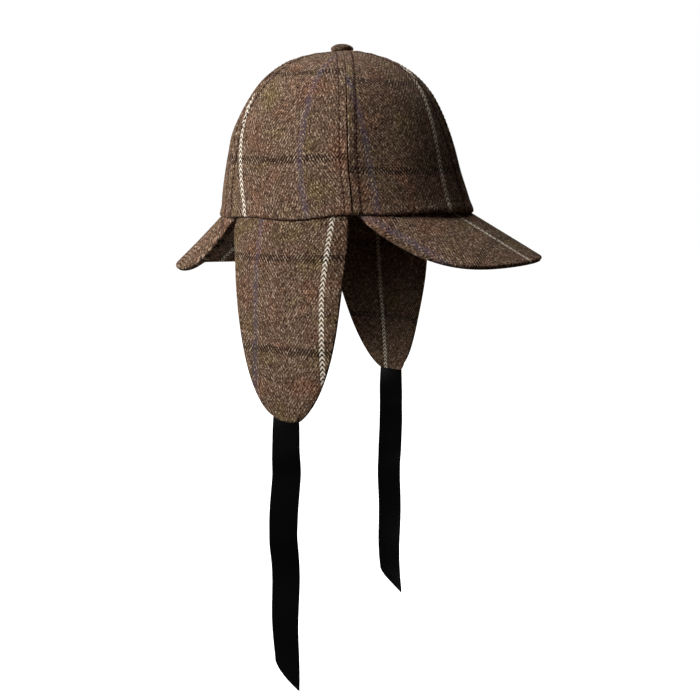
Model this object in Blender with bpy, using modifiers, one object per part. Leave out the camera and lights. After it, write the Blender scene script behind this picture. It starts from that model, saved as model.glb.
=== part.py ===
"""A deerstalker hat in tweed, in the form it has on a head.

Metres, +Z up. The front peak points to -Y and the wearer's left is +X. The origin is the
middle of the head opening, at the mean height of the crown's hem.
Around the crown, an angle of 0 is the middle of the front, 90 degrees the middle of the
wearer's right side and 180 degrees the nape.
"""
import math

import bmesh
import bpy
from mathutils import Vector

# Head opening and crown
HALF_LENGTH = 0.104
HALF_WIDTH = 0.086
CROWN_HEIGHT = 0.122
CROWN_WALL = 0.003
BROW_RISE = 0.0036
PEAK_DIP = 0.0025
CROWN_HOLE_RADIUS = 0.003

# Small gap kept between neighbouring solids
FIT_GAP = 0.0003

# Seams between the six crown panels, in degrees from the middle of the front
SIDE_SEAM = 62.0
REAR_SEAM = 128.0

# Self-covered button on top
BUTTON_RADIUS = 0.0088
BUTTON_HEIGHT = 0.0058

# Stiffened peaks
PEAK_THICKNESS = 0.004
FRONT_PEAK_LENGTH = 0.068
FRONT_PEAK_HALF_SPAN = 59.5
FRONT_PEAK_DROOP = 31.0
FRONT_PEAK_SIDE_DROOP = 28.5
FRONT_PEAK_FAN = 12.0
BACK_PEAK_LENGTH = 0.069
BACK_PEAK_HALF_SPAN = 57.5
BACK_PEAK_DROOP = 38.0
BACK_PEAK_SIDE_DROOP = 42.0
BACK_PEAK_FAN = -8.0
PEAK_SQUARENESS = 8.0
PEAK_END_SHARE = 0.999

# Ear flaps
FLAP_LENGTH = 0.152
FLAP_THICKNESS = 0.003
FLAP_FRONT_CLEARANCE = 0.0078
FLAP_BACK_CLEARANCE = 0.0009
FLAP_OVAL_POWER = 0.47
FLAP_BACK_NOTCH = 0.0058
FLAP_NOTCH_DEPTH = 0.0047
FLAP_HEM_INSET = 0.001

# Satin ribbon ties
RIBBON_LENGTH = 0.227
RIBBON_WIDTH = 0.0230
RIBBON_THICKNESS = 0.001
RIBBON_END_SLANT = 0.022
RIBBON_END_BOW = 0.6

# Half-profiles of the crown, from the hem up.
# Columns: height as a share of the crown's height, then how far the front and the back
# stand off the middle, as shares of the hem's own distance.
CROWN_PROFILE = (
    (0.00, 1.018, 1.006),
    (0.06, 0.996, 0.988),
    (0.14, 0.968, 0.974),
    (0.25, 0.920, 0.950),
    (0.38, 0.870, 0.921),
    (0.50, 0.817, 0.892),
    (0.62, 0.758, 0.828),
    (0.72, 0.698, 0.756),
    (0.81, 0.614, 0.672),
    (0.88, 0.513, 0.572),
    (0.935, 0.398, 0.462),
    (0.975, 0.265, 0.318),
    (1.00, 0.120, 0.130),
)

# How each flap hangs.
# Columns: name, side (+1 is the wearer's left), outward splay in degrees, forward swing of
# the tip as a share of the flap's length, share of the hem's curve that is left at the tip,
# turn of the front edge towards the head in degrees, sway of the ribbon in ribbon widths.
FLAP_HANG = (
    ("right", -1.0, 4.0, 0.045, 0.05, 0.0, 0.17),
    ("left", 1.0, 5.5, 0.030, 1.10, 9.5, 0.04),
)

# Route of a ribbon. Columns: share of its length, share of its sway to the back.
RIBBON_ROUTE = (
    (0.00, 0.00),
    (0.15, 0.30),
    (0.30, 0.80),
    (0.45, 1.00),
    (0.60, 0.95),
    (0.80, 0.60),
    (1.00, 0.45),
)

# How finely the solids are faceted
SMOOTH_ANGLE = 40.0
PANEL_COLUMNS = 9
PEAK_SECTIONS = 36
PEAK_STEPS = 6
FLAP_LEVELS = 20
FLAP_LEVEL_CROWDING = 1.5
FLAP_COLUMNS = 10
RIBBON_LEVELS = 18
RIBBON_PARTS = (0.0, 0.25, 0.5, 0.75, 1.0)
BUTTON_STEPS = 32

TWEED_COLOUR = (0.19, 0.145, 0.115)
RIBBON_COLOUR = (0.012, 0.012, 0.013)


def clear_scene():
    for old in list(bpy.data.objects):
        bpy.data.objects.remove(old, do_unlink=True)


def make_material(name, colour, roughness):
    material = bpy.data.materials.new(name)
    material.use_nodes = True
    shader = material.node_tree.nodes["Principled BSDF"]
    shader.inputs["Base Color"].default_value = (*colour, 1.0)
    shader.inputs["Roughness"].default_value = roughness
    shader.inputs["Metallic"].default_value = 0.0
    return material


def loft(name, sections, material, collection):
    """Skins a row of closed sections that run the same way round, and caps both ends."""
    bm = bmesh.new()
    rings = [[bm.verts.new(point) for point in section] for section in sections]
    count = len(rings[0])
    for ring, following in zip(rings, rings[1:]):
        for i in range(count):
            j = (i + 1) % count
            bm.faces.new((ring[i], ring[j], following[j], following[i]))
    bm.faces.new(tuple(reversed(rings[0])))
    bm.faces.new(tuple(rings[-1]))
    bmesh.ops.recalc_face_normals(bm, faces=bm.faces)
    mesh = bpy.data.meshes.new(name)
    bm.to_mesh(mesh)
    bm.free()
    mesh.shade_smooth()
    mesh.set_sharp_from_angle(angle=math.radians(SMOOTH_ANGLE))
    mesh.materials.append(material)
    piece = bpy.data.objects.new(name, mesh)
    collection.objects.link(piece)
    return piece


def blend(table, share, column):
    """Reads one column of a table at a share, straight between its rows."""
    for low, high in zip(table, table[1:]):
        if share <= high[0]:
            part = (share - low[0]) / (high[0] - low[0])
            return low[column] + part * (high[column] - low[column])
    return table[-1][column]


def hem_height(angle):
    """The hem is higher at the brow than at the nape, and dips at the middle of each peak."""
    rise = BROW_RISE * math.cos(angle)
    front_share = abs(angle) / math.radians(FRONT_PEAK_HALF_SPAN)
    back_share = (math.pi - abs(angle)) / math.radians(BACK_PEAK_HALF_SPAN)
    nearest = min(front_share, back_share, 1.0)
    return rise - PEAK_DIP * (1.0 - nearest ** 2)


def crown_point(angle, row, inset):
    """A point on the crown's outer face, or inset from it towards the head."""
    height, front, back = row
    forward = (1.0 + math.cos(angle)) / 2.0
    reach = forward * front + (1.0 - forward) * back
    x = -(HALF_WIDTH * reach - inset) * math.sin(angle)
    y = -(HALF_LENGTH * reach - inset) * math.cos(angle)
    top = CROWN_HEIGHT - inset * (1.0 if height >= 1.0 else height ** 4)
    return Vector((x, y, height * top + hem_height(angle) * (1.0 - height) ** 2))


def crown_section(angle, sideways):
    """The wall's section at one angle, moved sideways to leave the seam's gap."""
    across = Vector((-math.cos(angle), math.sin(angle), 0.0)) * sideways
    outer = [crown_point(angle, row, 0.0) + across for row in CROWN_PROFILE]
    inner = [crown_point(angle, row, CROWN_WALL) + across for row in CROWN_PROFILE]
    tip = Vector((-math.sin(angle), -math.cos(angle), 0.0)) * CROWN_HOLE_RADIUS + across
    outer.append(tip + Vector((0.0, 0.0, CROWN_HEIGHT)))
    inner.append(tip + Vector((0.0, 0.0, CROWN_HEIGHT - CROWN_WALL)))
    return outer + list(reversed(inner))


def add_crown(material, collection):
    seams = (-180.0, -REAR_SEAM, -SIDE_SEAM, 0.0, SIDE_SEAM, REAR_SEAM, 180.0)
    names = ("rear_left", "side_left", "front_left", "front_right", "side_right", "rear_right")
    for name, start, end in zip(names, seams, seams[1:]):
        sections = []
        for column in range(PANEL_COLUMNS + 1):
            share = column / PANEL_COLUMNS
            sideways = FIT_GAP / 2.0 * (1.0 - 2.0 * share)
            angle = math.radians(start + share * (end - start))
            sections.append(crown_section(angle, sideways))
        loft("crown_" + name, sections, material, collection)


def add_button(material, collection):
    """A turned, flat-backed button on the meeting point of the panels.

    Columns of its outline: share of the radius, share of the height.
    """
    outline = (
        (0.00, 1.00),
        (0.35, 0.97),
        (0.66, 0.84),
        (0.88, 0.62),
        (1.00, 0.34),
        (0.96, 0.10),
        (0.82, 0.00),
        (0.00, 0.00),
    )
    mesh = bpy.data.meshes.new("top_button")
    points = [(share * BUTTON_RADIUS, 0.0, rise * BUTTON_HEIGHT) for share, rise in outline]
    edges = [(i, i + 1) for i in range(len(points) - 1)]
    mesh.from_pydata(points, edges, [])
    mesh.materials.append(material)
    button = bpy.data.objects.new("top_button", mesh)
    button.location = (0.0, 0.0, CROWN_HEIGHT + FIT_GAP)
    turn = button.modifiers.new("turn", "SCREW")
    turn.steps = BUTTON_STEPS
    turn.render_steps = BUTTON_STEPS
    turn.use_merge_vertices = True
    turn.merge_threshold = 0.00005
    collection.objects.link(button)


def peak_section(share, side, half_span, length, droop, side_droop, fan):
    """The board's section at a share of the half span; side is -1 at the front, +1 behind."""
    angle = share * math.radians(half_span)
    along = math.radians(fan) * share
    slope = math.radians(droop + (side_droop - droop) * share ** 2)
    reach = length * math.sqrt(1.0 - abs(share) ** PEAK_SQUARENESS)
    root = Vector((math.sin(angle) * HALF_WIDTH, side * math.cos(angle) * HALF_LENGTH, 0.0))
    inward = Vector((-math.sin(angle), -side * math.cos(angle), 0.0)) * CROWN_WALL
    turned = angle if side < 0.0 else math.pi - abs(angle)
    root.z = hem_height(turned) - FIT_GAP
    heading = Vector((math.sin(along), side * math.cos(along), 0.0))
    ruling = heading * math.cos(slope) - Vector((0.0, 0.0, math.sin(slope)))
    upright = heading * math.sin(slope) + Vector((0.0, 0.0, math.cos(slope)))
    top = [root + inward, root]
    top += [root + ruling * (reach * step / PEAK_STEPS) for step in range(1, PEAK_STEPS + 1)]
    down = upright * PEAK_THICKNESS
    bottom = [top[0] - Vector((0.0, 0.0, PEAK_THICKNESS))]
    bottom += [point - down for point in top[1:]]
    return top + list(reversed(bottom))


def add_peak(name, side, size, material, collection):
    sections = []
    for index in range(PEAK_SECTIONS + 1):
        turn = math.pi * (index / PEAK_SECTIONS - 0.5)
        share = PEAK_END_SHARE * math.sin(turn)
        sections.append(peak_section(share, side, *size))
    loft(name, sections, material, collection)


def flap_levels():
    """Shares of the flap's length at which its sections lie, closer together at the tip."""
    rest = [1.0 - level / FLAP_LEVELS for level in range(FLAP_LEVELS + 1)]
    return [1.0 - share ** FLAP_LEVEL_CROWDING for share in rest]


def flap_place():
    """Middle and half width of a flap, which fills the hem between the two peaks' ends."""
    front = FLAP_FRONT_CLEARANCE - HALF_LENGTH * math.cos(math.radians(FRONT_PEAK_HALF_SPAN))
    back = HALF_LENGTH * math.cos(math.radians(BACK_PEAK_HALF_SPAN)) - FLAP_BACK_CLEARANCE
    return (front + back) / 2.0, (back - front) / 2.0


def flap_edges(level):
    """Front and back edge of a flap at a share of its length."""
    middle, widest = flap_place()
    tip_share = RIBBON_WIDTH / 2.0 / widest
    oval_end = math.sqrt(1.0 - tip_share ** (1.0 / FLAP_OVAL_POWER))
    half = widest * (1.0 - (level * oval_end) ** 2) ** FLAP_OVAL_POWER
    notch = FLAP_BACK_NOTCH * math.exp(-level * FLAP_LENGTH / FLAP_NOTCH_DEPTH)
    return middle - half, middle + half - notch


def flap_point(y, level, hang, depth):
    """A point of a flap; depth runs from its outer face towards the head."""
    side, splay, swing, keep, turn, _ = hang
    middle, _ = flap_place()
    easing = level * level * (3.0 - 2.0 * level)
    curve = HALF_WIDTH * (1.0 - math.sqrt(1.0 - (y / HALF_LENGTH) ** 2))
    out = FLAP_LENGTH * level * math.sin(math.radians(splay))
    out += math.sin(math.radians(turn)) * (1.0 - (1.0 - level) ** 2) * (y - middle)
    x = HALF_WIDTH - FLAP_HEM_INSET - depth - curve * (1.0 - (1.0 - keep) * easing) + out
    angle = math.acos(-y / HALF_LENGTH)
    hem = (hem_height(angle) - FIT_GAP) * (1.0 - level)
    z = hem - FLAP_LENGTH * level * math.cos(math.radians(splay))
    return Vector((side * x, y - swing * FLAP_LENGTH * level, z))


def add_flap(name, hang, material, collection):
    sections = []
    for level in flap_levels():
        front, back = flap_edges(level)
        across = [front + (back - front) * i / FLAP_COLUMNS for i in range(FLAP_COLUMNS + 1)]
        outer = [flap_point(y, level, hang, 0.0) for y in across]
        inner = [flap_point(y, level, hang, FLAP_THICKNESS) for y in reversed(across)]
        sections.append(outer + inner)
    loft("ear_flap_" + name, sections, material, collection)


def add_ribbon(name, hang, material, collection):
    """A ribbon from the middle of a flap's thickness, straight down, cut on the slant."""
    depth = (FLAP_THICKNESS - RIBBON_THICKNESS) / 2.0
    middle, _ = flap_place()
    sections = []
    for level in range(RIBBON_LEVELS + 1):
        share = level / RIBBON_LEVELS
        sway = hang[-1] * RIBBON_WIDTH * blend(RIBBON_ROUTE, share, 1)
        section = []
        for inset in (depth, depth + RIBBON_THICKNESS):
            edge = []
            for part in RIBBON_PARTS:
                y = middle + RIBBON_WIDTH * (part - 0.5)
                top = flap_point(y, 1.0, hang, inset)
                cut = RIBBON_END_SLANT * (1.0 - (1.0 - part) ** RIBBON_END_BOW)
                drop = (RIBBON_LENGTH - cut) * share + FIT_GAP
                edge.append(top + Vector((0.0, sway, -drop)))
            section += edge if not section else list(reversed(edge))
        sections.append(section)
    loft("ribbon_" + name, sections, material, collection)


def build():
    clear_scene()
    collection = bpy.data.collections.new("deerstalker_hat")
    bpy.context.scene.collection.children.link(collection)
    tweed = make_material("tweed", TWEED_COLOUR, 0.95)
    satin = make_material("satin", RIBBON_COLOUR, 0.35)
    add_crown(tweed, collection)
    add_button(tweed, collection)
    front = (FRONT_PEAK_HALF_SPAN, FRONT_PEAK_LENGTH, FRONT_PEAK_DROOP,
             FRONT_PEAK_SIDE_DROOP, FRONT_PEAK_FAN)
    back = (BACK_PEAK_HALF_SPAN, BACK_PEAK_LENGTH, BACK_PEAK_DROOP,
            BACK_PEAK_SIDE_DROOP, BACK_PEAK_FAN)
    add_peak("front_peak", -1.0, front, tweed, collection)
    add_peak("back_peak", 1.0, back, tweed, collection)
    for name, *hang in FLAP_HANG:
        add_flap(name, hang, tweed, collection)
        add_ribbon(name, hang, satin, collection)


build()
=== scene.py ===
"""A tweed deerstalker hat, held up in the form that it has on a head.

Metres, +Z up. The front peak points to -Y and the wearer's left is +X. The origin is the
middle of the head opening, at the crown's hem. Around the crown an angle of 0 is the middle
of the front, 90 degrees the middle of the wearer's right side and 180 degrees the nape.
"""
import math

import bpy
import numpy as np
from mathutils import Matrix, Vector
from mathutils.kdtree import KDTree


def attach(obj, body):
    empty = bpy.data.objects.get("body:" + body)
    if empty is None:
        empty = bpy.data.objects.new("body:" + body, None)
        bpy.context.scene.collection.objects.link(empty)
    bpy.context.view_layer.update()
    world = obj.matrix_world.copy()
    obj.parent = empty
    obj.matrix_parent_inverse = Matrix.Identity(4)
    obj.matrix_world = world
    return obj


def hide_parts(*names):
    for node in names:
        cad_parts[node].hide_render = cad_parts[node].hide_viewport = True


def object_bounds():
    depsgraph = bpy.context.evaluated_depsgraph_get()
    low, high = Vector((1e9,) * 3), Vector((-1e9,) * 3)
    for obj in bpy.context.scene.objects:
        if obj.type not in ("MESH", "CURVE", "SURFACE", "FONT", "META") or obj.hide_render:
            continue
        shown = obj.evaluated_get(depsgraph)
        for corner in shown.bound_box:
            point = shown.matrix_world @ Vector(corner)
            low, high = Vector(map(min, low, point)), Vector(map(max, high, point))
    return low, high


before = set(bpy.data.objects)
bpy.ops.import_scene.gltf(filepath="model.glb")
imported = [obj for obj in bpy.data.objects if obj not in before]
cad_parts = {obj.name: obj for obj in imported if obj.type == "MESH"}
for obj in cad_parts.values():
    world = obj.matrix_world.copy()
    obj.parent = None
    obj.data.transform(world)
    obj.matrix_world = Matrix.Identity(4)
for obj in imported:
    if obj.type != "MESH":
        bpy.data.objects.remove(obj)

cad_box = [list(corner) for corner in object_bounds()]
bpy.ops.object.select_all(action="DESELECT")


# Studio
# The hat is seen from the wearer's right, a little from the front and from just above its
# hem, in a white room with a pale floor. Soft lamps stand behind the wearer's right side,
# so that the front of the crown and the inside of the far flap fall into shade.
CAMERA_AZIMUTH = -62.4
CAMERA_ELEVATION = 11.77
CAMERA_DISTANCE = 0.7482
CAMERA_ASIDE = 0.00615
CAMERA_DROP = 0.1162
FOCAL_PIXELS = 893.6
PICTURE_PIXELS = 700.0
FLOOR_CLEARANCE = 0.02
FLOOR_SIZE = 8.0
FLOOR_PAINT = (0.9, 0.9, 0.9, 1.0)
FLOOR_GLOW = 1.0
ROOM_WHITE = 1.0
ROOM_LIGHT = 0.045
SHADE_WARMTH = (1.0, 0.84, 0.68)
WHITE = (1.0, 1.0, 1.0, 1.0)
LAMPS_AIM = Vector((0.0, 0.0, -0.05))

# Columns: name, azimuth, elevation, distance, width of the lamp, watts
LAMPS = (
    ("broad_light", -126.0, 34.0, 1.30, 0.60, 24.0),
    ("low_light", -130.0, 15.0, 1.30, 0.60, 3.6),
    ("far_light", 100.0, 65.0, 1.30, 0.60, 7.0),
    ("floor_light", 80.0, -60.0, 0.38, 0.25, 0.7),
)


def towards(azimuth, elevation):
    """Unit vector from the hat to a place around it; azimuth 0 stands in front of the peak."""
    turn, lift = math.radians(azimuth), math.radians(elevation)
    return Vector((math.sin(turn) * math.cos(lift), -math.cos(turn) * math.cos(lift), math.sin(lift)))


def add_camera():
    turn = math.radians(CAMERA_AZIMUTH)
    target = Vector((math.cos(turn), math.sin(turn), 0.0)) * CAMERA_ASIDE
    target.z = -CAMERA_DROP
    back = towards(CAMERA_AZIMUTH, CAMERA_ELEVATION)
    bpy.ops.object.camera_add(location=target + back * CAMERA_DISTANCE)
    camera = bpy.context.object
    camera.name = "camera"
    camera.rotation_euler = (-back).to_track_quat("-Z", "Y").to_euler()
    camera.data.lens = FOCAL_PIXELS / PICTURE_PIXELS * camera.data.sensor_width
    bpy.context.scene.camera = camera


def add_lamps():
    for name, azimuth, elevation, distance, width, watts in LAMPS:
        way = towards(azimuth, elevation)
        bpy.ops.object.light_add(type="AREA", location=LAMPS_AIM + way * distance)
        lamp = bpy.context.object
        lamp.name = name
        lamp.rotation_euler = way.to_track_quat("Z", "Y").to_euler()
        lamp.data.size = width
        lamp.data.energy = watts
        lamp.visible_camera = False


def add_room():
    """A room that looks white, and lights the hat less than it looks."""
    world = bpy.data.worlds.new("white_room")
    world.use_nodes = True
    nodes, links = world.node_tree.nodes, world.node_tree.links
    light = nodes["Background"]
    light.inputs["Color"].default_value = (*SHADE_WARMTH, 1.0)
    light.inputs["Strength"].default_value = ROOM_LIGHT
    seen = nodes.new("ShaderNodeBackground")
    seen.inputs["Color"].default_value = WHITE
    seen.inputs["Strength"].default_value = ROOM_WHITE
    path = nodes.new("ShaderNodeLightPath")
    mix = nodes.new("ShaderNodeMixShader")
    links.new(path.outputs["Is Camera Ray"], mix.inputs["Fac"])
    links.new(light.outputs["Background"], mix.inputs[1])
    links.new(seen.outputs["Background"], mix.inputs[2])
    links.new(mix.outputs["Shader"], nodes["World Output"].inputs["Surface"])
    bpy.context.scene.world = world
    bpy.context.scene.view_settings.view_transform = "Standard"


def add_floor():
    height = cad_box[0][2] - FLOOR_CLEARANCE
    bpy.ops.mesh.primitive_plane_add(size=FLOOR_SIZE, location=(0.0, 0.0, height))
    floor = bpy.context.object
    floor.name = "floor"
    paint = bpy.data.materials.new("pale_floor")
    paint.use_nodes = True
    shader = paint.node_tree.nodes["Principled BSDF"]
    shader.inputs["Base Color"].default_value = FLOOR_PAINT
    shader.inputs["Roughness"].default_value = 0.9
    shader.inputs["Emission Color"].default_value = WHITE
    shader.inputs["Emission Strength"].default_value = FLOOR_GLOW
    floor.data.materials.append(paint)
    floor.visible_diffuse = False
    floor.visible_glossy = False


add_camera()
add_lamps()
add_room()
add_floor()


# Crown
# Six gores of woollen tweed, sewn edge to edge, with the seams pressed open and the edge
# turned in round the head opening. Pulled tight by their seams, the gores are a little flatter
# than the head they go round.
HALF_LENGTH = 0.104
HALF_WIDTH = 0.086
CROWN_HEIGHT = 0.122
CROWN_WALL = 0.003
BROW_RISE = 0.0036
PEAK_DIP = 0.0025
FRONT_PEAK_HALF_SPAN = 59.5
BACK_PEAK_HALF_SPAN = 57.5
SIDE_SEAM = 62.0
SIDE_SEAM_SWING = 1.5
SIDE_SEAM_SWING_SPREAD = 16.0
SIDE_SEAM_SWING_RISE = 0.22
SEAM_RIDGE = 0.0042
SEAM_RIDGE_POWER = 0.8
SEAM_ROUNDING = 0.0007
SEAM_BAND = 0.0057
SEAM_BAND_RISE = 0.0002
STITCH_SINK = 0.0004
STITCH_SPREAD = 0.0009
SEAM_PUCKER = 0.00018
SEAM_PUCKER_LENGTH = 0.011
HEM_WAVES = 8.0
HEM_WAVE_HEIGHT = 0.0012
HEM_LOWEST_ANGLE = 87.0
HEM_SIDE_DROP = 0.0034
HEM_SIDE_ANGLE = 95.0
HEM_SIDE_SPREAD = 46.0
HEM_SOFTNESS = 0.012
BROW_OVERHANG = 0.0020
BROW_OVERHANG_HEIGHT = 0.012
BROW_DROOP = 0.0028
BROW_DROOP_ANGLE = -18.0
BROW_DROOP_SPREAD = 25.0
HEM_ROLL = 0.0005
HEM_ROLL_WIDTH = 0.003
CLOTH_LUMP = 0.00045
CLOTH_LUMPS_ACROSS = 95.0
CLOTH_LUMPS_ALONG = 70.0
GORE_COLUMNS = 100
GORE_ROWS = 116
EDGE_CROWDING = 0.86
HEM_CROWDING = 0.55
CURVE_STEPS = 12

# Half-profiles of the crown, from the hem up.
# Columns: height as a share of the crown's height, then how far the front and the back stand
# off the middle, as shares of the hem's own distance.
CROWN_PROFILE = np.array((
    (0.00, 1.018, 1.006),
    (0.06, 0.996, 0.988),
    (0.14, 0.968, 0.974),
    (0.25, 0.920, 0.950),
    (0.38, 0.870, 0.921),
    (0.50, 0.817, 0.892),
    (0.62, 0.758, 0.822),
    (0.72, 0.696, 0.744),
    (0.81, 0.610, 0.655),
    (0.88, 0.506, 0.552),
    (0.935, 0.386, 0.438),
    (0.975, 0.250, 0.295),
    (1.00, 0.120, 0.130),
    (1.00, 0.032, 0.035),
))

# Columns: name, first and last angle, angle of the gore's straight grain, place of the cream
# stripe from it, its drift at the hem, height of a dark bar over the hem, and how many checks
# further along the cloth the gore was cut
GORES = (
    ("rear_left", -180.0, -128.0, -154.0, 0.010, 0.0, 0.048, 3.0),
    ("side_left", -128.0, -SIDE_SEAM, -95.0, -0.0425, 0.012, 0.040, 7.0),
    ("front_left", -SIDE_SEAM, 0.0, -31.0, 0.024, 0.0, 0.036, 11.0),
    ("front_right", 0.0, SIDE_SEAM, 31.0, -0.0225, 0.0, 0.0310, 0.0),
    ("side_right", SIDE_SEAM, 128.0, 95.0, 0.0425, -0.012, 0.0405, 5.0),
    ("rear_right", 128.0, 180.0, 154.0, -0.012, 0.0, 0.046, 9.0),
)
DRIFT_HEIGHT = 0.060

# The cloth is a 2/2 twill that turns its diagonal every 48 ends, so that it reads as a wide
# herringbone. Each 115 mm of its width has a stripe of cream ends and one of slate ends, and
# each 68 mm of its length a bar of dark picks. The yarns are mixed from brown, fawn and
# near-black wool with a little rust and moss.
END_PITCH = 0.0006
PICK_PITCH = 0.0009
TWILL_REPEAT = 4.0
TWILL_WARP_UP = 1.5
TURN_ENDS = 48.0
STRIPE_ENDS = 96.0
CREAM_HALF_ENDS = 3.0
SLATE_HALF_ENDS = 4.0
CHECK_WIDTH = END_PITCH * STRIPE_ENDS * 2.0
BAR_PICKS = 38.0
BAR_HALF_PICKS = 2.6
CHECK_HEIGHT = PICK_PITCH * BAR_PICKS * 2.0
CREAM = (0.92, 0.83, 0.69)
SLATE = (0.100, 0.083, 0.128)
BAR_BLACK = (0.012, 0.008, 0.006)
# Painted shade for the crevices between the floats, not the colour of any yarn
CREVICE_PAINTED_SHADE = (0.014, 0.007, 0.004)
RUST_TINT = (1.13, 0.94, 0.86)
MOSS_TINT = (0.96, 1.03, 0.72)
NO_TINT = (1.0, 1.0, 1.0)
CLOUD_SCALE = 42.0
CLOUD_CONTRAST = 5.0
RUST_START = -0.05
MOSS_START = -0.15

# How far the yarns wander from a straight line, and how the wools are mixed in each float
WANDER_SCALE = 260.0
WANDER_ENDS = 1.5
WANDER_PICKS = -1.2
STROKE_ACROSS = 0.75
STROKE_ALONG = 0.36
FIBRE_SCALE = 1500.0
MIX_START = -0.20
STROKE_SHARE = 0.5
FIBRE_SHARE = 0.9
FLECK_SHARE = 0.7
FLECK_SEED = 11.0
WARP_SEED = 3.0
WEFT_SEED = 7.0
WARP_IN_CREAM = 0.1
SLATE_COVER = 0.80

# How round the floats are, how much painted shade darkens the crevices between them, and how high they
# stand
FLOAT_SWELL = 0.45
FLOAT_END_HEIGHT = 0.55
WARP_ROUNDNESS = 3.0
WEFT_ROUNDNESS = 2.4
WEFT_HEIGHT = 0.55
CREVICE_DEPTH = 0.26
CREVICE_FLECK = 0.35
CREVICE_HEIGHT = 0.75
CREVICE_CREAM = 0.55
FLOAT_RELIEF = 0.00045
FLOAT_RELIEF_STRENGTH = 0.95
FLUFF_SHARE = 0.9

# Columns: where the colour starts along the ramp, red, green, blue
WARP_WOOL = (
    (0.00, 0.030, 0.017, 0.011),
    (0.25, 0.105, 0.062, 0.040),
    (0.55, 0.200, 0.121, 0.079),
    (0.80, 0.310, 0.203, 0.135),
    (1.00, 0.580, 0.440, 0.325),
)
WEFT_WOOL = (
    (0.00, 0.018, 0.010, 0.007),
    (0.35, 0.085, 0.050, 0.032),
    (0.75, 0.175, 0.105, 0.068),
    (1.00, 0.330, 0.212, 0.145),
)


def number_node(tree, operation, *values, clamp=False):
    """One Math node; a value is a number or another node's output."""
    node = tree.nodes.new("ShaderNodeMath")
    node.operation = operation
    node.use_clamp = clamp
    for socket, value in zip(node.inputs, values):
        if isinstance(value, float):
            socket.default_value = value
        else:
            tree.links.new(value, socket)
    return node.outputs[0]


def blend_node(tree, share, first, second, mode="MIX"):
    """Mixes two colours; each is a tuple or another node's output."""
    node = tree.nodes.new("ShaderNodeMix")
    node.data_type = "RGBA"
    node.blend_type = mode
    for socket, value in zip((node.inputs[0], node.inputs[6], node.inputs[7]), (share, first, second)):
        if isinstance(value, float):
            socket.default_value = value
        elif isinstance(value, tuple):
            socket.default_value = (*value, 1.0)
        else:
            tree.links.new(value, socket)
    return node.outputs[2]


def wool_ramp(tree, share, colours):
    ramp = tree.nodes.new("ShaderNodeValToRGB")
    stops = ramp.color_ramp.elements
    while len(stops) < len(colours):
        stops.new(0.5)
    for stop, (place, *colour) in zip(stops, colours):
        stop.position = place
        stop.color = (*colour, 1.0)
    tree.links.new(share, ramp.inputs["Fac"])
    return ramp.outputs["Color"]


def point_node(tree, x, y, z=0.0):
    node = tree.nodes.new("ShaderNodeCombineXYZ")
    for socket, value in zip(node.inputs, (x, y, z)):
        if isinstance(value, float):
            socket.default_value = value
        else:
            tree.links.new(value, socket)
    return node.outputs[0]


def cloud_node(tree, point, scale, detail=2.0):
    """Soft random values from -0.5 to 0.5."""
    node = tree.nodes.new("ShaderNodeTexNoise")
    node.inputs["Scale"].default_value = scale
    node.inputs["Detail"].default_value = detail
    tree.links.new(point, node.inputs["Vector"])
    return number_node(tree, "SUBTRACT", node.outputs["Fac"], 0.5)


def speckle_node(tree, point):
    """A random value from 0 to 1 for each whole point."""
    node = tree.nodes.new("ShaderNodeTexWhiteNoise")
    node.noise_dimensions = "3D"
    tree.links.new(point, node.inputs["Vector"])
    return node.outputs["Value"]


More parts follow.
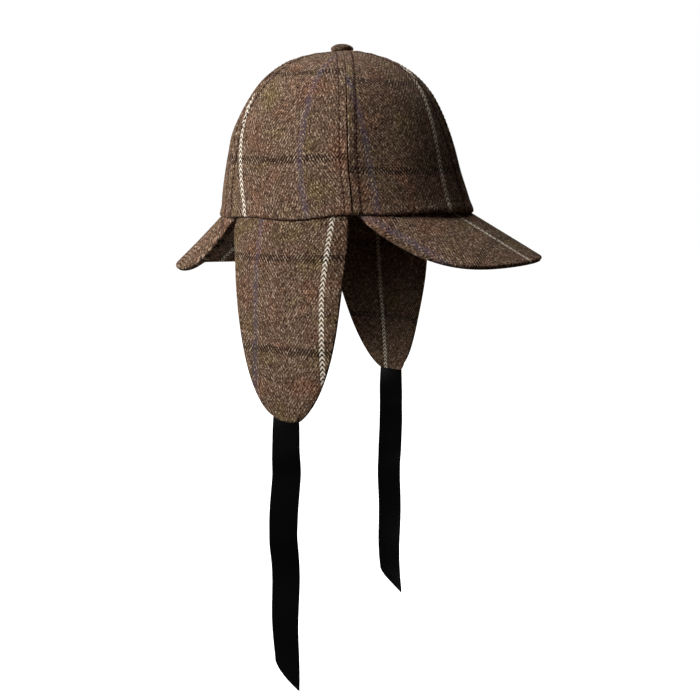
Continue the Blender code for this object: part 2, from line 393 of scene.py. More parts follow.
def weave_tweed():
    tweed = bpy.data.materials.new("herringbone_tweed")
    tweed.use_nodes = True
    tree = tweed.node_tree
    shader = tree.nodes["Principled BSDF"]
    place = tree.nodes.new("ShaderNodeUVMap")
    place.uv_map = "cloth"
    place = place.outputs["UV"]
    split = tree.nodes.new("ShaderNodeSeparateXYZ")
    tree.links.new(place, split.inputs[0])

    # Hand-spun wool wanders a little from its straight line
    wander = cloud_node(tree, place, WANDER_SCALE, 1.0)
    ends = number_node(tree, "DIVIDE", split.outputs[0], END_PITCH)
    ends = number_node(tree, "MULTIPLY_ADD", wander, WANDER_ENDS, ends)
    picks = number_node(tree, "DIVIDE", split.outputs[1], PICK_PITCH)
    picks = number_node(tree, "MULTIPLY_ADD", wander, WANDER_PICKS, picks)
    end = number_node(tree, "FLOOR", ends)
    pick = number_node(tree, "FLOOR", picks)

    # Two up, two down: which yarn lies on top, and how far along its float a point is
    turned = number_node(tree, "PINGPONG", number_node(tree, "ADD", end, 0.5), TURN_ENDS)
    turned = number_node(tree, "FLOOR", turned)
    step = number_node(tree, "ADD", pick, turned)
    repeat = number_node(tree, "FLOOR", number_node(tree, "DIVIDE", step, TWILL_REPEAT))
    step = number_node(tree, "FLOORED_MODULO", step, TWILL_REPEAT)
    warp_up = number_node(tree, "LESS_THAN", step, TWILL_WARP_UP)
    end_side = number_node(tree, "SUBTRACT", number_node(tree, "FRACT", ends), 0.5)
    pick_part = number_node(tree, "FRACT", picks)
    pick_side = number_node(tree, "SUBTRACT", pick_part, 0.5)
    reach = number_node(tree, "MULTIPLY", number_node(tree, "ADD", step, pick_part), math.pi / 2.0)
    swell = number_node(tree, "SINE", reach)
    swell = number_node(tree, "MULTIPLY_ADD", swell, FLOAT_SWELL, FLOAT_END_HEIGHT)
    warp_round = number_node(tree, "MULTIPLY", end_side, end_side)
    warp_round = number_node(tree, "MULTIPLY_ADD", warp_round, -WARP_ROUNDNESS, 1.0)
    warp_height = number_node(tree, "MULTIPLY", warp_round, swell)
    weft_round = number_node(tree, "MULTIPLY", pick_side, pick_side)
    weft_height = number_node(tree, "MULTIPLY_ADD", weft_round, -WEFT_ROUNDNESS, WEFT_HEIGHT)
    height = number_node(tree, "SUBTRACT", warp_height, weft_height)
    height = number_node(tree, "MULTIPLY_ADD", height, warp_up, weft_height)

    # Neighbouring floats felt together into short strokes along the diagonal
    folded = number_node(tree, "PINGPONG", ends, TURN_ENDS)
    lean = number_node(tree, "MULTIPLY", number_node(tree, "ADD", picks, folded), STROKE_ACROSS)
    length = number_node(tree, "MULTIPLY", ends, STROKE_ALONG)
    stroke = cloud_node(tree, point_node(tree, lean, length), 1.0, 1.0)

    # Each float shows its own mix of wool
    fibre = cloud_node(tree, place, FIBRE_SCALE, 3.0)
    mixed = number_node(tree, "MULTIPLY_ADD", stroke, STROKE_SHARE, MIX_START)
    mixed = number_node(tree, "MULTIPLY_ADD", fibre, FIBRE_SHARE, mixed)
    fleck = speckle_node(tree, point_node(tree, end, pick, FLECK_SEED))
    mixed = number_node(tree, "MULTIPLY_ADD", fleck, FLECK_SHARE, mixed)
    warp_mix = speckle_node(tree, point_node(tree, end, repeat, WARP_SEED))
    warp_mix = number_node(tree, "MULTIPLY_ADD", warp_mix, FLECK_SHARE, mixed, clamp=True)
    half_end = number_node(tree, "FLOOR", number_node(tree, "DIVIDE", end, 2.0))
    weft_mix = speckle_node(tree, point_node(tree, half_end, pick, WEFT_SEED))
    weft_mix = number_node(tree, "MULTIPLY_ADD", weft_mix, FLECK_SHARE, mixed, clamp=True)
    warp = wool_ramp(tree, warp_mix, WARP_WOOL)
    weft = wool_ramp(tree, weft_mix, WEFT_WOOL)

    # Cream and slate ends, dark picks
    stripe = number_node(tree, "PINGPONG", number_node(tree, "ADD", end, 0.5), STRIPE_ENDS)
    cream = number_node(tree, "LESS_THAN", stripe, CREAM_HALF_ENDS)
    slate = number_node(tree, "GREATER_THAN", stripe, STRIPE_ENDS - SLATE_HALF_ENDS)
    warp_in_cream = number_node(tree, "MULTIPLY", warp_mix, WARP_IN_CREAM)
    cream_wool = blend_node(tree, warp_in_cream, CREAM, warp)
    warp = blend_node(tree, cream, warp, cream_wool)
    bar = number_node(tree, "PINGPONG", number_node(tree, "ADD", pick, 0.5), BAR_PICKS)
    bar = number_node(tree, "LESS_THAN", bar, BAR_HALF_PICKS)
    weft = blend_node(tree, bar, weft, BAR_BLACK)
    colour = blend_node(tree, warp_up, weft, warp)
    slate_share = number_node(tree, "MULTIPLY_ADD", warp_mix, -SLATE_COVER, SLATE_COVER, clamp=True)
    slate_share = number_node(tree, "MULTIPLY", slate_share, slate)
    colour = blend_node(tree, slate_share, colour, SLATE)

    # Clouds of rust and moss in the ground of the check
    clouds = cloud_node(tree, place, CLOUD_SCALE, 2.0)
    rust = number_node(tree, "MULTIPLY_ADD", clouds, CLOUD_CONTRAST, RUST_START, clamp=True)
    moss = number_node(tree, "MULTIPLY_ADD", clouds, -CLOUD_CONTRAST, MOSS_START, clamp=True)
    tint = blend_node(tree, rust, NO_TINT, RUST_TINT)
    tint = blend_node(tree, moss, tint, MOSS_TINT)
    cream_on_top = number_node(tree, "MULTIPLY", cream, warp_up)
    tint = blend_node(tree, cream_on_top, tint, NO_TINT)
    colour = blend_node(tree, 1.0, colour, tint, "MULTIPLY")

    # Painted shade: light does not reach down between the floats, so their colour is darkened there
    # towards a painted near-black
    # depth is the share of the float's own colour that is kept; the rest is painted crevice shade
    depth = number_node(tree, "MULTIPLY_ADD", fleck, CREVICE_FLECK, CREVICE_DEPTH)
    depth = number_node(tree, "MULTIPLY_ADD", height, CREVICE_HEIGHT, depth)
    depth = number_node(tree, "MULTIPLY_ADD", cream_on_top, CREVICE_CREAM, depth, clamp=True)
    colour = blend_node(tree, depth, CREVICE_PAINTED_SHADE, colour)
    tree.links.new(colour, shader.inputs["Base Color"])

    fluff = number_node(tree, "MULTIPLY_ADD", fibre, FLUFF_SHARE, height)
    bump = tree.nodes.new("ShaderNodeBump")
    bump.inputs["Strength"].default_value = FLOAT_RELIEF_STRENGTH
    bump.inputs["Distance"].default_value = FLOAT_RELIEF
    tree.links.new(fluff, bump.inputs["Height"])
    tree.links.new(bump.outputs["Normal"], shader.inputs["Normal"])
    shader.inputs["Roughness"].default_value = 0.92
    shader.inputs["Specular IOR Level"].default_value = 0.08
    shader.inputs["Sheen Weight"].default_value = 0.04
    shader.inputs["Sheen Roughness"].default_value = 0.45
    shader.inputs["Sheen Tint"].default_value = (1.0, 0.90, 0.78, 1.0)
    return tweed


def hem_height(angle):
    """The hem is higher at the brow than at the nape, and dips at the middle of each peak."""
    rise = BROW_RISE * np.cos(angle)
    front_share = np.abs(angle) / math.radians(FRONT_PEAK_HALF_SPAN)
    back_share = (math.pi - np.abs(angle)) / math.radians(BACK_PEAK_HALF_SPAN)
    nearest = np.minimum(np.minimum(front_share, back_share), 1.0)
    return rise - PEAK_DIP * (1.0 - nearest ** 2)


def crowded(count, crowding):
    """Shares from 0 to 1 that lie closer together at both ends."""
    even = np.linspace(0.0, 1.0, count)
    return even - crowding * np.sin(2.0 * math.pi * even) / (2.0 * math.pi)


def smooth_rows(table, shares):
    """Reads a table along a smooth curve through its rows, at shares of the curve's length."""
    padded = np.vstack([2.0 * table[0] - table[1], table, 2.0 * table[-1] - table[-2]])
    rows = []
    for before, low, high, after in zip(padded, padded[1:], padded[2:], padded[3:]):
        for part in np.linspace(0.0, 1.0, CURVE_STEPS, endpoint=False):
            square, cube = part ** 2, part ** 3
            rows.append(0.5 * (2.0 * low + (high - before) * part
                               + (2.0 * before - 5.0 * low + 4.0 * high - after) * square
                               + (3.0 * low - before - 3.0 * high + after) * cube))
    rows = np.array(rows + [table[-1]])
    lengths = np.linalg.norm(np.diff(rows, axis=0), axis=1)
    travelled = np.concatenate([[0.0], np.cumsum(lengths)]) / lengths.sum()
    return np.stack([np.interp(shares, travelled, column) for column in rows.T], axis=1)


def swung(angles, height):
    """Angles of a gore's columns by row; the seams at the sides swing back as they rise."""
    near_seam = np.exp(-((np.abs(np.degrees(angles)) - SIDE_SEAM) / SIDE_SEAM_SWING_SPREAD) ** 2)
    swing = np.sign(angles) * math.radians(SIDE_SEAM_SWING) * near_seam
    return angles[:, None] + swing[:, None] * (1.0 - np.exp(-(height / SIDE_SEAM_SWING_RISE) ** 2))


def crown_points(angle, rows, inset):
    """Points of the crown by column and row, inset from its outer face towards the head."""
    height, front, back = rows.T
    forward = (1.0 + np.cos(angle)) / 2.0
    reach = forward * front + (1.0 - forward) * back
    x = -(HALF_WIDTH * reach - inset) * np.sin(angle)
    y = -(HALF_LENGTH * reach - inset) * np.cos(angle)
    top = CROWN_HEIGHT - inset * np.clip(height, 0.0, 1.0) ** 4
    z = height * top + hem_height(angle) * (1.0 - height) ** 2
    return np.stack([x, y, z], axis=2)


def facing(points, centre):
    """Unit normals of a grid of points, turned away from a centre."""
    sideways, upward = np.gradient(points, axis=0), np.gradient(points, axis=1)
    normals = np.cross(sideways, upward)
    normals /= np.maximum(np.linalg.norm(normals, axis=2, keepdims=True), 1e-12)
    turned = np.sum((points - np.array(centre)) * normals)
    return normals if turned > 0.0 else -normals


def half_thickness(distance, radius, thickness):
    """Half the thickness of a cloth whose edge is rounded over a radius."""
    share = np.clip(distance / radius, 0.0, 1.0)
    return thickness / 2.0 * np.sqrt(1.0 - (1.0 - share) ** 2)


def rolled(distance, radius):
    """Length of cloth that a rounded edge takes up beyond its width."""
    turn = np.clip(1.0 - distance / radius, 0.0, 1.0)
    return radius * (np.arcsin(turn) - turn)


def lay_out(middle, grain_column):
    """Unrolls a grid of cloth: how far across and how far along each of its points lies."""
    across = np.linalg.norm(np.diff(middle, axis=0), axis=2)
    across = np.concatenate([np.zeros((1, middle.shape[1])), np.cumsum(across, axis=0)])
    across -= across[grain_column:grain_column + 1]
    along = np.linalg.norm(np.diff(middle[grain_column], axis=0), axis=1)
    along = np.concatenate([[0.0], np.cumsum(along)])
    return np.stack([across, np.broadcast_to(along, across.shape)], axis=2)


def cloth_shell(name, middle, normals, outward, inward, cloth, material):
    """Makes a closed piece of cloth from the middle of its thickness.

    outward and inward are how far its two faces stand off the middle. They meet at the edges
    of the grid. cloth is each point's place on the uncut cloth, in metres.
    """
    columns, rows = middle.shape[:2]
    outer = np.arange(columns * rows).reshape(columns, rows)
    inner = outer.copy()
    inner[1:-1, 1:-1] = columns * rows + np.arange((columns - 2) * (rows - 2)).reshape(columns - 2, -1)
    faces = []
    for sheet, turned in ((outer, False), (inner, True)):
        quads = np.stack([sheet[:-1, :-1], sheet[1:, :-1], sheet[1:, 1:], sheet[:-1, 1:]], axis=2)
        quads = quads.reshape(-1, 4)
        faces.append(quads[:, ::-1] if turned else quads)
    faces = np.concatenate(faces)
    points = np.concatenate([(middle + normals * outward[..., None]).reshape(-1, 3),
                             (middle - normals * inward[..., None])[1:-1, 1:-1].reshape(-1, 3)])
    sideways, upward = middle[1, 1] - middle[0, 1], middle[1, 2] - middle[1, 1]
    if np.dot(np.cross(sideways, upward), normals[1, 1]) < 0.0:
        faces = faces[:, ::-1]
    mesh = bpy.data.meshes.new(name)
    mesh.from_pydata(points.tolist(), [], faces.tolist())
    places = np.concatenate([cloth.reshape(-1, 2), cloth[1:-1, 1:-1].reshape(-1, 2)])
    layer = mesh.uv_layers.new(name="cloth")
    layer.data.foreach_set("uv", places[faces.ravel()].ravel())
    mesh.shade_smooth()
    mesh.materials.append(material)
    piece = bpy.data.objects.new(name, mesh)
    bpy.context.collection.objects.link(piece)
    return piece


def hem_lift(height_over_hem, angles):
    """How far the soft cloth near the hem lies above its even line."""
    wave = -HEM_WAVE_HEIGHT * np.cos(HEM_WAVES * (angles - math.radians(HEM_LOWEST_ANGLE)))
    degrees = np.degrees(angles)
    lift = wave * np.sin(angles) ** 2
    lift -= HEM_SIDE_DROP * np.exp(-((np.abs(degrees) - HEM_SIDE_ANGLE) / HEM_SIDE_SPREAD) ** 2)
    lift -= BROW_DROOP * np.exp(-((degrees - BROW_DROOP_ANGLE) / BROW_DROOP_SPREAD) ** 2)
    return lift[:, None] * np.exp(-height_over_hem / HEM_SOFTNESS)


def sew_gore(beside, name, first, last, grain, stripe, drift, bar, checks):
    """Makes one gore; gives its outer face, its normals and its place on the cut piece."""
    shares = crowded(GORE_COLUMNS, EDGE_CROWDING)
    angles = np.radians(first + (last - first) * shares)
    rows = smooth_rows(CROWN_PROFILE, crowded(GORE_ROWS, HEM_CROWDING))
    height = np.clip(rows[:, 0], 0.0, 1.0)
    middle = crown_points(swung(angles, height), rows, CROWN_WALL / 2.0)
    normals = facing(middle, (0.0, 0.0, 0.0))
    ridge = SEAM_RIDGE * np.sin(math.pi * height ** SEAM_RIDGE_POWER)
    ridge = ridge * (2.0 * shares[:, None] - 1.0) ** 2
    middle = middle + normals * ridge[..., None]
    flat = lay_out(middle, int(np.argmin(np.abs(angles - math.radians(grain)))))
    along = flat[..., 1]
    middle[..., 2] += hem_lift(along, angles)
    brow = BROW_OVERHANG * np.clip(np.cos(angles), 0.0, 1.0) ** 4
    brow = brow[:, None] * np.exp(-(along / BROW_OVERHANG_HEIGHT) ** 2)
    middle = middle + normals * brow[..., None]
    normals = facing(middle, (0.0, 0.0, 0.0))

    to_seam = np.minimum(flat[..., 0] - flat[:1, :, 0], flat[-1:, :, 0] - flat[..., 0])
    hem_radius = CROWN_WALL / 2.0
    half = half_thickness(np.minimum(to_seam / SEAM_ROUNDING, along / hem_radius), 1.0, CROWN_WALL)
    half[:, -1] = 0.0
    band = SEAM_BAND_RISE / (1.0 + np.exp((to_seam - SEAM_BAND) / (STITCH_SPREAD / 3.0)))
    sunk = STITCH_SINK * np.exp(-((to_seam - SEAM_BAND) / STITCH_SPREAD) ** 2)
    pucker = np.sin(along * 2.0 * math.pi / SEAM_PUCKER_LENGTH) * np.exp(-(to_seam / SEAM_BAND) ** 2)
    lumps = np.sin(flat[..., 0] * CLOTH_LUMPS_ACROSS + checks)
    lumps = lumps * np.sin(along * CLOTH_LUMPS_ALONG + 2.0 * checks)
    roll = HEM_ROLL * np.exp(-((along - HEM_ROLL_WIDTH) / HEM_ROLL_WIDTH) ** 2)
    relief = band - sunk + SEAM_PUCKER * pucker + CLOTH_LUMP * lumps + roll
    outward = half + relief * half / (CROWN_WALL / 2.0)

    cloth = flat.copy()
    cloth[..., 0] += np.sign(flat[..., 0]) * rolled(to_seam, SEAM_ROUNDING)
    cloth[..., 0] += CHECK_WIDTH * checks - stripe
    cloth[..., 0] -= drift * np.clip(1.0 - along / DRIFT_HEIGHT, 0.0, 1.0) ** 2
    cloth[..., 1] += CHECK_HEIGHT * checks - bar - rolled(along, hem_radius)
    gore = cloth_shell("crown_" + name + "_tweed", middle, normals, outward, half, cloth, tweed)
    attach(gore, "root")
    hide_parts("crown_" + name)
    return middle + normals * outward[..., None], normals, flat


tweed = weave_tweed()
sewn_gores = []
for place, gore in enumerate(GORES):
    neighbours = (GORES[place - 1], GORES[(place + 1) % len(GORES)])
    beside = ["crown_" + neighbour[0] + "_tweed" for neighbour in neighbours]
    sewn_gores.append(sew_gore(beside, *gore))


# Topstitching
# A row of machine stitches in dark brown thread on both sides of each crown seam. It holds
# the pressed seam allowance flat, and sinks into the wool.
STITCH_LENGTH = 0.0029
STITCH_WIDTH = 0.0010
STITCH_PITCH = 0.0035
STITCH_RISE = 0.0002
STITCH_LEAN = 5.0
STITCH_SEED = 7
STITCH_LAST_BANDS = 2.6
THREAD_BROWN = (0.050, 0.014, 0.011)
THREAD_TWIST = 0.0005


def spin_thread():
    thread = bpy.data.materials.new("dark_brown_thread")
    thread.use_nodes = True
    tree = thread.node_tree
    shader = tree.nodes["Principled BSDF"]
    place = tree.nodes.new("ShaderNodeTexCoord")
    strand = cloud_node(tree, place.outputs["Object"], 1.0 / THREAD_TWIST, 2.0)
    share = number_node(tree, "ADD", strand, 0.5, clamp=True)
    dark = tuple(0.5 * channel for channel in THREAD_BROWN)
    tree.links.new(blend_node(tree, share, dark, THREAD_BROWN), shader.inputs["Base Color"])
    bump = tree.nodes.new("ShaderNodeBump")
    bump.inputs["Strength"].default_value = 0.4
    bump.inputs["Distance"].default_value = 0.0001
    tree.links.new(strand, bump.inputs["Height"])
    tree.links.new(bump.outputs["Normal"], shader.inputs["Normal"])
    shader.inputs["Roughness"].default_value = 0.6
    shader.inputs["Specular IOR Level"].default_value = 0.1
    return thread


def seam_line(face, normals, flat, edge):
    """The points and normals of a gore that lie one seam band away from one of its edges.

    Near the top button the gore is too narrow for its two lines, and they end.
    """
    points, turns = [], []
    for row in range(1, flat.shape[1] - 1):
        reach = np.abs(flat[:, row, 0] - flat[edge, row, 0])
        if reach.max() < STITCH_LAST_BANDS * SEAM_BAND:
            break
        order = np.argsort(reach)
        for found, grid in ((points, face), (turns, normals)):
            across = grid[order, row].T
            found.append([np.interp(SEAM_BAND, reach[order], column) for column in across])
    return np.array(points), np.array(turns)


def read_along(values, travelled, place):
    """Reads a row of points or normals at a distance travelled along it."""
    return Vector([np.interp(place, travelled, column) for column in values.T])


def sew_line(stitch, points, normals, chance):
    steps = np.linalg.norm(np.diff(points, axis=0), axis=1)
    travelled = np.concatenate([[0.0], np.cumsum(steps)])
    stitches = []
    for place in np.arange(STITCH_PITCH / 2.0, travelled[-1], STITCH_PITCH):
        ahead = read_along(points, travelled, place + STITCH_LENGTH / 2.0)
        behind = read_along(points, travelled, place - STITCH_LENGTH / 2.0)
        up = read_along(normals, travelled, place).normalized()
        along = (ahead - behind).normalized()
        seat = Matrix((along, up.cross(along), up)).transposed().to_4x4()
        seat.translation = (ahead + behind) / 2.0 + up * STITCH_RISE
        lean = Matrix.Rotation(math.radians(STITCH_LEAN * chance.normal()), 4, "Z")
        copy = stitch.copy()
        copy.data = stitch.data.copy()
        copy.data.transform(seat @ lean)
        bpy.context.collection.objects.link(copy)
        stitches.append(copy)
    return stitches


def sew_topstitching():
    bpy.ops.mesh.primitive_uv_sphere_add(segments=8, ring_count=6, radius=0.5)
    stitch = bpy.context.object
    bpy.ops.object.mode_set(mode="EDIT")
    bpy.ops.transform.resize(value=(STITCH_LENGTH, STITCH_WIDTH, STITCH_WIDTH))
    bpy.ops.object.mode_set(mode="OBJECT")
    bpy.ops.object.shade_smooth()
    stitch.data.materials.append(spin_thread())
    chance = np.random.default_rng(STITCH_SEED)
    stitches = []
    for face, normals, flat in sewn_gores:
        for edge in (0, -1):
            stitches += sew_line(stitch, *seam_line(face, normals, flat, edge), chance)
    bpy.data.objects.remove(stitch)
    bpy.ops.object.select_all(action="DESELECT")
    for copy in stitches:
        copy.select_set(True)
    bpy.context.view_layer.objects.active = stitches[0]
    bpy.ops.object.join()
    topstitching = bpy.context.object
    topstitching.name = "crown_topstitching"
    topstitching.select_set(False)
    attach(topstitching, "root")


sew_topstitching()


# Top button
# A pressed metal button covered in the same tweed, gathered in under its rim and fixed by its
# shank where the six gores meet.
BUTTON_RADIUS = 0.0088
BUTTON_HEIGHT = 0.0058
BUTTON_WAIST_SHARE = 0.34
BUTTON_GATHERS = 14.0
BUTTON_GATHER_DEPTH = 0.0003
BUTTON_GATHER_TOP = 0.3
BUTTON_SEGMENTS = 96
BUTTON_RINGS = 48
FIT_GAP = 0.0003


def cover_button():
    seat = CROWN_HEIGHT + FIT_GAP
    waist = seat + BUTTON_WAIST_SHARE * BUTTON_HEIGHT
    dome = (1.0 - BUTTON_WAIST_SHARE) * BUTTON_HEIGHT
    bpy.ops.mesh.primitive_uv_sphere_add(segments=BUTTON_SEGMENTS, ring_count=BUTTON_RINGS,
                                         radius=BUTTON_RADIUS, location=(0.0, 0.0, waist))
    button = bpy.context.object
    button.name = "top_button_tweed"
    bpy.ops.object.transform_apply(location=True, rotation=False, scale=False)
    bpy.ops.object.mode_set(mode="EDIT")
    bpy.ops.mesh.select_all(action="SELECT")
    bpy.ops.transform.resize(value=(1.0, 1.0, dome / BUTTON_RADIUS), center_override=(0.0, 0.0, waist))
    bpy.ops.mesh.bisect(plane_co=(0.0, 0.0, seat), plane_no=(0.0, 0.0, 1.0),
                        clear_inner=True, use_fill=True)
    bpy.ops.object.mode_set(mode="OBJECT")
    for vertex in button.data.vertices:
        out = Vector((vertex.co.x, vertex.co.y))
        under = min(max((waist + BUTTON_GATHER_TOP * dome - vertex.co.z) / BUTTON_HEIGHT, 0.0), 1.0)
        gather = BUTTON_GATHER_DEPTH * under * math.cos(BUTTON_GATHERS * math.atan2(out.y, out.x))
        vertex.co.xy = out - out.normalized() * gather
    cloth = button.data.uv_layers.new(name="cloth")
    for loop in button.data.loops:
        point = button.data.vertices[loop.vertex_index].co
        out = Vector((point.x, point.y))
        angle = math.atan2(out.length / BUTTON_RADIUS, (point.z - waist) / dome)
        cloth.data[loop.index].uv = out.normalized() * angle * BUTTON_RADIUS
    bpy.ops.object.shade_smooth()
    button.data.materials.append(tweed)
    button.select_set(False)
    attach(button, "root")
    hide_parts("top_button")


cover_button()


# Peaks
# A stiff board at the front and one at the back, each covered in tweed above and below. The
# two covers meet in a seam round the edge, and the straight side is sewn up into the hem.
PEAK_SQUARENESS = 6.5
PEAK_END_SHARE = 0.999
PEAK_TUCK = 0.0035
PEAK_SEAM_DEPTH = 0.0007
PEAK_COLUMNS = 130
PEAK_ROWS = 70
PEAK_ROW_CROWDING = 0.8
PEAK_SEAM_ROWS = 6
UNDER_PEAK_OUT = 0.1
UNDER_PEAK_DOWN = 0.3

# Columns: name, side (-1 is the front), half span, length, thickness, how far its upper face
# lies under the hem, droop at the middle and at the ends, and fan
PEAKS = (
    ("front_peak", -1.0, FRONT_PEAK_HALF_SPAN, 0.068, 0.0036, 0.0010, 28.6, 33.0, 12.0),
    ("back_peak", 1.0, BACK_PEAK_HALF_SPAN, 0.069, 0.0060, 0.0006, 36.5, 51.0, -8.0),
)

# Columns: place of the cream stripe, how far out a dark bar lies, and cut of the cloth
PEAK_CUTS = {
    "front_peak": (-0.013, 0.036, 13.0),
    "back_peak": (0.030, 0.030, 17.0),
}


def grid_edges(grid):
    """The points along the four edges of a grid."""
    return np.concatenate([grid[0], grid[-1], grid[1:-1, 0], grid[1:-1, -1]])


def way_to_edge(middle, flat):
    """Distance of each point from the edge of the cloth, and the way to it on the cut piece."""
    edge, cut_edge = grid_edges(middle), grid_edges(flat)
    tree = KDTree(len(edge))
    for index, point in enumerate(edge):
        tree.insert(point, index)
    tree.balance()
    found = [tree.find(point)[1:] for point in middle.reshape(-1, 3)]
    nearest = np.array([index for index, _ in found])
    distance = np.array([reach for _, reach in found]).reshape(middle.shape[:2])
    way = cut_edge[nearest].reshape(flat.shape) - flat
    way[0], way[-1] = way[1], way[-2]
    way[:, 0], way[:, -1] = way[:, 1], way[:, -2]
    way /= np.maximum(np.linalg.norm(way, axis=2, keepdims=True), 1e-9)
    return distance, way


def draw_in(grid, depth):
    """Draws the edge of a piece in towards its middle, as the seam round it does."""
    drawn = grid.copy()
    first, last, every = PEAK_SEAM_ROWS, -1 - PEAK_SEAM_ROWS, slice(None)
    for edge, inside in (((0,), (first,)), ((-1,), (last,)), ((every, -1), (every, last))):
        way = grid[inside] - grid[edge]
        drawn[edge] += way / np.maximum(np.linalg.norm(way, axis=-1, keepdims=True), 1e-9) * depth
    return drawn


def cover_peak(name, side, half_span, length, thickness, sink, droop, side_droop, fan):
    """Makes one peak from straight lines that run out from the hem and droop."""
    stripe, bar, checks = PEAK_CUTS[name]
    turn = math.pi * (np.linspace(0.0, 1.0, PEAK_COLUMNS) - 0.5)
    share = (PEAK_END_SHARE * np.sin(turn))[:, None]
    angle = share * math.radians(half_span)
    along = math.radians(fan) * share
    slope = np.radians(droop + (side_droop - droop) * share ** 2)
    reach = length * np.sqrt(1.0 - np.abs(share) ** PEAK_SQUARENESS)
    turned = angle if side < 0.0 else math.pi - np.abs(angle)
    root = np.stack([np.sin(angle) * HALF_WIDTH, side * np.cos(angle) * HALF_LENGTH,
                     hem_height(turned) - FIT_GAP], axis=2)
    heading = np.stack([np.sin(along), side * np.cos(along), np.zeros_like(along)], axis=2)
    ruling = heading * np.cos(slope)[..., None] - np.array((0.0, 0.0, 1.0)) * np.sin(slope)[..., None]
    steps = crowded(PEAK_ROWS, PEAK_ROW_CROWDING)[None, :]
    out = (reach + PEAK_TUCK) * steps - PEAK_TUCK
    top = root + ruling * out[..., None]
    normals = facing(top, (0.0, side * UNDER_PEAK_OUT, -UNDER_PEAK_DOWN))
    middle = top - normals * (thickness / 2.0 + sink)
    flat = np.stack([middle[..., 0], np.abs(middle[..., 1] / np.cos(math.radians(droop)))], axis=2)
    to_edge, way = way_to_edge(middle, flat)
    half = half_thickness(to_edge, thickness / 2.0, thickness)
    cloth = flat + way * rolled(to_edge, thickness / 2.0)[..., None]
    cloth[..., 0] += CHECK_WIDTH * checks - stripe
    cloth[..., 1] += CHECK_HEIGHT * checks - bar - HALF_LENGTH / math.cos(math.radians(droop))
    middle = draw_in(middle, PEAK_SEAM_DEPTH)
    peak = cloth_shell(name + "_tweed", middle, normals, half, half, cloth, tweed)
    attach(peak, "root")
    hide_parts(name)


for peak in PEAKS:
    cover_peak(*peak)


# Ear flaps
# Two layers of tweed sewn round and turned, sewn up into the hem and hanging over the ears.
# The right one shows its outer side in the picture and the left one its inner side.
FLAP_LENGTH = 0.152
FLAP_THICKNESS = 0.003
FLAP_FRONT_CLEARANCE = 0.0078
FLAP_BACK_CLEARANCE = 0.0009
FLAP_OVAL_POWER = 0.47
FLAP_BACK_NOTCH = 0.0058
FLAP_NOTCH_DEPTH = 0.0047
FLAP_HEM_INSET = 0.001
FLAP_TUCK = 0.0025
FLAP_TIP_SHARE = 0.08
FLAP_BACK_SWELL = 0.0026
FLAP_BACK_SWELL_SHARE = 0.42
FLAP_CURL = 0.0022
FLAP_CURL_WIDTH = 0.013
FLAP_LUMP = 0.0006
FLAP_LUMPS_ACROSS = 60.0
FLAP_LUMPS_ALONG = 9.0
FLAP_ROWS = 150
FLAP_ROW_CROWDING = 0.7
FLAP_ROW_POWER = 1.25
FLAP_COLUMNS = 90
FLAP_COLUMN_CROWDING = 0.9
RIBBON_WIDTH = 0.0230

# Columns: name, side (+1 is the wearer's left), outward splay in degrees, forward swing of
# the tip as a share of the flap's length, share of the hem's curve that is left at the tip,
# turn of the front edge towards the head in degrees
FLAP_HANG = {
    "right": (-1.0, 4.0, 0.045, 0.05, 0.0),
    "left": (1.0, 5.5, 0.030, 1.10, 9.5),
}

# Columns: name, place of the cream stripe, its drift at the hem, depth of a dark bar under the
# hem, how far the tip is rounded out and slants, how far the front edge is drawn in, at what
# share of the flap's length and over how much of it, and cut of the cloth
FLAP_CUTS = (
    ("right", -0.0264, -0.0085, 0.0315, 0.0026, 0.0010, 0.0020, 0.36, 0.22, 19.0),
    ("left", 0.010, 0.0, 0.101, 0.0008, 0.0, 0.0046, 0.76, 0.44, 23.0),
)
FLAP_DRIFT_HEIGHT = 0.062

# Shares of the flap's length, counted from where it is sewn, over which its trim and swell, its
# curl and its lumps come in, and over which trim and swell go out again at the tip
TRIM_COMES_IN = 1.0 / 12.0
TRIM_GOES_OUT = 1.0 / 22.0
CURL_COMES_IN = 1.0 / 8.0
LUMPS_COME_IN = 1.0 / 6.0
BETWEEN_FLAPS = (0.0, 0.0, -0.05)


def eased(share, reach):
    """Rises evenly from 0 to 1 over a reach, and stays there."""
    return np.clip(share / reach, 0.0, 1.0)


def flap_place():
    """Middle and half width of a flap, which fills the hem between the two peaks' ends."""
    front = FLAP_FRONT_CLEARANCE - HALF_LENGTH * math.cos(math.radians(FRONT_PEAK_HALF_SPAN))
    back = HALF_LENGTH * math.cos(math.radians(BACK_PEAK_HALF_SPAN)) - FLAP_BACK_CLEARANCE
    return (front + back) / 2.0, (back - front) / 2.0


def flap_edges(level):
    """Front and back edge of a flap at a share of its length."""
    centre, widest = flap_place()
    tip_share = RIBBON_WIDTH / 2.0 / widest
    oval_end = math.sqrt(1.0 - tip_share ** (1.0 / FLAP_OVAL_POWER))
    half = widest * (1.0 - (level * oval_end) ** 2) ** FLAP_OVAL_POWER
    notch = FLAP_BACK_NOTCH * np.exp(-np.maximum(level, 0.0) * FLAP_LENGTH / FLAP_NOTCH_DEPTH)
    return centre - half, centre + half - notch


def flap_points(y, level, depth, side, splay, swing, keep, turn):
    """Points of a flap; depth runs from its outer face towards the head."""
    easing = level * level * (3.0 - 2.0 * level)
    curve = HALF_WIDTH * (1.0 - np.sqrt(1.0 - (y / HALF_LENGTH) ** 2))
    out = FLAP_LENGTH * level * math.sin(math.radians(splay))
    out = out + math.sin(math.radians(turn)) * (1.0 - (1.0 - level) ** 2) * (y - flap_place()[0])
    x = HALF_WIDTH - FLAP_HEM_INSET - depth - curve * (1.0 - (1.0 - keep) * easing) + out
    hem = (hem_height(np.arccos(-y / HALF_LENGTH)) - FIT_GAP) * (1.0 - level)
    z = hem - FLAP_LENGTH * level * math.cos(math.radians(splay))
    return np.stack([side * x, y - swing * FLAP_LENGTH * level, z], axis=2)


